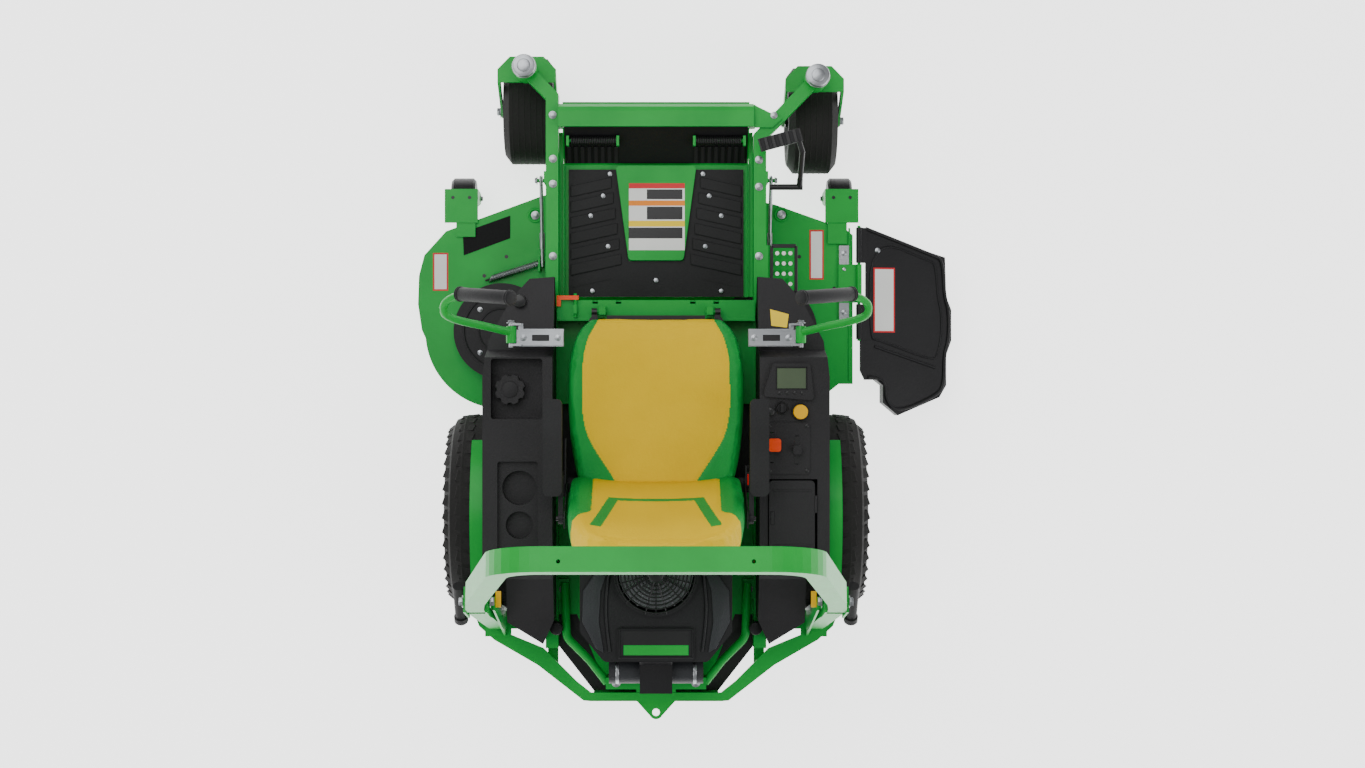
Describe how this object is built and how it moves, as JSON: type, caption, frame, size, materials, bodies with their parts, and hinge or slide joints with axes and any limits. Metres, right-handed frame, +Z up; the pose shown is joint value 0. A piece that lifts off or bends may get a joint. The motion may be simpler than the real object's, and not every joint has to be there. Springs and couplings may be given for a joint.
{
  "type": "zero turn riding mower",
  "caption": "Zero turn riding mower with a side discharge deck, twin lap bars, padded seat, fold-down roll bar, front casters and large rear drive wheels.",
  "frame": {"origin": "middle of the overall box, on the ground", "axes": "+Z up, the front of the mower faces -Y, the discharge chute is on the -X side"},
  "size_m": [1.6844, 2.0529, 1.8353],
  "materials": {
    "green_frame": "gloss powder coat",
    "green_deck": "gloss powder coat",
    "black_plastic": "fine grained moulded plastic",
    "chute_rubber": "moulded plastic",
    "tyre_rubber": "black tyre rubber",
    "rim_paint": "satin black paint",
    "mat_rubber": "moulded rubber",
    "belt_rubber": "rubber",
    "blade_steel": "steel",
    "bar_steel": "bright zinc plate",
    "cast_housing": "cast",
    "engine_metal": "die cast",
    "shroud_plastic": "moulded plastic",
    "seat_vinyl": "grained vinyl",
    "arm_foam": "self skinned foam",
    "seat_steel": "satin black paint",
    "orange_plastic": "gloss",
    "yellow_plastic": "gloss",
    "red_plastic": "gloss",
    "battery_case": "moulded",
    "tank_plastic": "moulded"
  },
  "bodies": {
    "chassis": {"frame_rails": "green_frame", "front_cross_cover": "green_frame", "foot_pan": "green_frame", "foot_mat": "mat_rubber", "seat_riser": "green_frame", "rear_frame": "green_frame", "rear_bumper": "green_frame", "fenders": "green_frame", "rubber_bars": "mat_rubber", "left_console": "black_plastic", "right_console": "black_plastic", "control_panel": "black_plastic", "engine_block": "engine_metal", "engine_shroud": "shroud_plastic", "battery": "battery_case", "transaxles": "cast_housing", "fuel_tank": "tank_plastic", "rops_posts": "green_frame"},
    "fork_left": {"caster_fork_left": "green_frame"},
    "caster_wheel_left": {"caster_tyre_left": "tyre_rubber", "caster_rim_left": "rim_paint"},
    "rear_wheel_left": {"rear_tyre_left": "tyre_rubber", "rear_rim_left": "rim_paint"},
    "fork_right": {"caster_fork_right": "green_frame"},
    "caster_wheel_right": {"caster_tyre_right": "tyre_rubber", "caster_rim_right": "rim_paint"},
    "rear_wheel_right": {"rear_tyre_right": "tyre_rubber", "rear_rim_right": "rim_paint"},
    "deck": {"deck_shell": "green_deck", "belt_covers": "black_plastic", "deck_belt": "belt_rubber"},
    "spindle_centre": {"blade_centre": "blade_steel"},
    "spindle_left": {"blade_left": "blade_steel"},
    "spindle_right": {"blade_right": "blade_steel"},
    "scalp_left": {"scalp_wheel_left": "black_plastic"},
    "scalp_right": {"scalp_wheel_right": "black_plastic"},
    "discharge_chute": {"chute": "chute_rubber"},
    "rod_left": {"draft_rod_left": "bar_steel"},
    "rod_right": {"draft_rod_right": "bar_steel"},
    "pedal": {"lift_pedal": "seat_steel"},
    "lever_left": {"lever_bracket_left": "bar_steel"},
    "bar_left": {"lap_bar_left": "green_frame"},
    "lever_right": {"lever_bracket_right": "bar_steel"},
    "bar_right": {"lap_bar_right": "green_frame"},
    "seat_base": {"seat_plate": "seat_steel"},
    "seat": {"seat_frame": "seat_steel", "seat_cushion": "seat_vinyl", "seat_back": "seat_vinyl"},
    "arm_left": {"armrest_left": "arm_foam"},
    "arm_right": {"armrest_right": "arm_foam"},
    "button": {"buckle_button": "red_plastic"},
    "roll_bar": {"rops_hoop": "green_frame"},
    "crank": {"crank_fan": "blade_steel"},
    "throttle_lever": {"throttle": "orange_plastic"},
    "choke_lever": {"choke": "black_plastic"},
    "pto_switch": {"pto_knob": "yellow_plastic"},
    "ignition_key": {"key": "black_plastic"},
    "tank_cap": {"fuel_cap": "black_plastic"},
    "lid": {"storage_lid": "black_plastic"},
    "seat_catch": {"seat_latch": "orange_plastic"}
  },
  "joints": [
    {"name": "caster_swivel_left", "type": "hinge", "parent": "chassis", "child": "fork_left", "pos_m": [0.49115, -0.9595, 0.4], "axis": [0, 0, 1], "continuous": true},
    {"name": "caster_roll_left", "type": "hinge", "parent": "fork_left", "child": "caster_wheel_left", "pos_m": [0.49115, -0.8615, 0.165], "axis": [1, 0, 0], "continuous": true},
    {"name": "rear_roll_left", "type": "hinge", "parent": "chassis", "child": "rear_wheel_left", "pos_m": [0.60665, 0.3915, 0.3], "axis": [1, 0, 0], "continuous": true},
    {"name": "caster_swivel_right", "type": "hinge", "parent": "chassis", "child": "fork_right", "pos_m": [-0.39285, -0.9305, 0.4], "axis": [0, 0, 1], "continuous": true},
    {"name": "caster_roll_right", "type": "hinge", "parent": "fork_right", "child": "caster_wheel_right", "pos_m": [-0.39285, -0.8325, 0.165], "axis": [1, 0, 0], "continuous": true},
    {"name": "rear_roll_right", "type": "hinge", "parent": "chassis", "child": "rear_wheel_right", "pos_m": [-0.41835, 0.3915, 0.3], "axis": [1, 0, 0], "continuous": true},
    {"name": "deck_lift", "type": "slide", "parent": "chassis", "child": "deck", "axis": [0, 0, 1], "range_m": [0, 0.075], "deforming": ["deck_belt"]},
    {"name": "blade_spin_centre", "type": "hinge", "parent": "deck", "child": "spindle_centre", "pos_m": [0.15865, -0.4085, 0.1], "axis": [0, 0, 1], "continuous": true},
    {"name": "blade_spin_left", "type": "hinge", "parent": "deck", "child": "spindle_left", "pos_m": [0.57615, -0.1685, 0.1], "axis": [0, 0, 1], "continuous": true},
    {"name": "blade_spin_right", "type": "hinge", "parent": "deck", "child": "spindle_right", "pos_m": [-0.25885, -0.1685, 0.1], "axis": [0, 0, 1], "continuous": true},
    {"name": "scalp_roll_left", "type": "hinge", "parent": "deck", "child": "scalp_left", "pos_m": [0.70515, -0.5945, 0.085], "axis": [1, 0, 0], "continuous": true},
    {"name": "scalp_roll_right", "type": "hinge", "parent": "deck", "child": "scalp_right", "pos_m": [-0.48885, -0.5945, 0.085], "axis": [1, 0, 0], "continuous": true},
    {"name": "chute_hinge", "type": "hinge", "parent": "deck", "child": "discharge_chute", "pos_m": [-0.54185, -0.3035, 0.206], "axis": [0, 1, 0], "range_deg": [0, 95]},
    {"name": "draft_rod_pivot_left", "type": "hinge", "parent": "chassis", "child": "rod_left", "pos_m": [0.44815, -0.6305, 0.32], "axis": [1, 0, 0], "range_deg": [0, 14.5]},
    {"name": "draft_rod_pivot_right", "type": "hinge", "parent": "chassis", "child": "rod_right", "pos_m": [-0.25985, -0.6305, 0.32], "axis": [1, 0, 0], "range_deg": [0, 14.5]},
    {"name": "pedal_pivot", "type": "hinge", "parent": "chassis", "child": "pedal", "pos_m": [-0.27485, -0.6015, 0.42], "axis": [1, 0, 0], "range_deg": [0, 15]},
    {"name": "lever_drive_left", "type": "hinge", "parent": "chassis", "child": "lever_left", "pos_m": [0.39915, -0.1375, 0.65], "axis": [1, 0, 0], "range_deg": [-8, 12]},
    {"name": "lap_bar_swing_left", "type": "hinge", "parent": "lever_left", "child": "bar_left", "pos_m": [0.51415, -0.1375, 0.715], "axis": [0, 1, 0], "range_deg": [-45, 0]},
    {"name": "lever_drive_right", "type": "hinge", "parent": "chassis", "child": "lever_right", "pos_m": [-0.21085, -0.1375, 0.65], "axis": [1, 0, 0], "range_deg": [-8, 12]},
    {"name": "lap_bar_swing_right", "type": "hinge", "parent": "lever_right", "child": "bar_right", "pos_m": [-0.32585, -0.1375, 0.715], "axis": [0, -1, 0], "range_deg": [-45, 0]},
    {"name": "seat_tilt", "type": "hinge", "parent": "chassis", "child": "seat_base", "pos_m": [0.09415, -0.2185, 0.545], "axis": [1, 0, 0], "range_deg": [0, 48]},
    {"name": "seat_slide", "type": "slide", "parent": "seat_base", "child": "seat", "axis": [0, -1, 0], "range_m": [0, 0.05]},
    {"name": "armrest_fold_left", "type": "hinge", "parent": "seat", "child": "arm_left", "pos_m": [0.36415, 0.3815, 0.795], "axis": [-1, 0, 0], "range_deg": [0, 85]},
    {"name": "armrest_fold_right", "type": "hinge", "parent": "seat", "child": "arm_right", "pos_m": [-0.17585, 0.3815, 0.795], "axis": [-1, 0, 0], "range_deg": [0, 85]},
    {"name": "buckle_press", "type": "slide", "parent": "seat", "child": "button", "axis": [0, 0, -1], "range_m": [0, 0.005], "stiffness_N_per_m": 800, "springref_m": -0.001},
    {"name": "roll_bar_fold", "type": "hinge", "parent": "chassis", "child": "roll_bar", "pos_m": [0.09415, 0.6085, 0.9], "axis": [-1, 0, 0], "range_deg": [0, 95]},
    {"name": "crank_spin", "type": "hinge", "parent": "chassis", "child": "crank", "pos_m": [0.09415, 0.5435, 0.5], "axis": [0, 0, 1], "continuous": true},
    {"name": "throttle_move", "type": "hinge", "parent": "chassis", "child": "throttle_lever", "pos_m": [-0.24285, 0.1715, 0.657], "axis": [1, 0, 0], "range_deg": [-25, 25]},
    {"name": "choke_move", "type": "hinge", "parent": "chassis", "child": "choke_lever", "pos_m": [-0.31585, 0.1875, 0.657], "axis": [1, 0, 0], "range_deg": [-20, 20]},
    {"name": "pto_pull", "type": "slide", "parent": "chassis", "child": "pto_switch", "axis": [0, 0, 1], "range_m": [0, 0.012]},
    {"name": "key_turn", "type": "hinge", "parent": "chassis", "child": "ignition_key", "pos_m": [-0.27185, 0.0665, 0.7], "axis": [0, 0, -1], "range_deg": [0, 90]},
    {"name": "cap_lift", "type": "slide", "parent": "chassis", "child": "tank_cap", "axis": [0, 0, 1], "range_m": [0, 0.06]},
    {"name": "lid_hinge", "type": "hinge", "parent": "chassis", "child": "lid", "pos_m": [-0.36985, 0.3465, 0.694], "axis": [0, -1, 0], "range_deg": [0, 95]},
    {"name": "seat_catch_turn", "type": "hinge", "parent": "chassis", "child": "seat_catch", "pos_m": [0.33515, -0.2535, 0.53], "axis": [0, 1, 0], "range_deg": [-25, 0]}
  ],
  "couplings": [
    {"joint": "blade_spin_left", "follows": "blade_spin_centre", "ratio": 1},
    {"joint": "blade_spin_right", "follows": "blade_spin_centre", "ratio": 1},
    {"joint": "draft_rod_pivot_left", "follows": "deck_lift", "rad_per_m": 3.37},
    {"joint": "draft_rod_pivot_right", "follows": "deck_lift", "rad_per_m": 3.37},
    {"joint": "pedal_pivot", "follows": "deck_lift", "rad_per_m": 3.48}
  ]
}
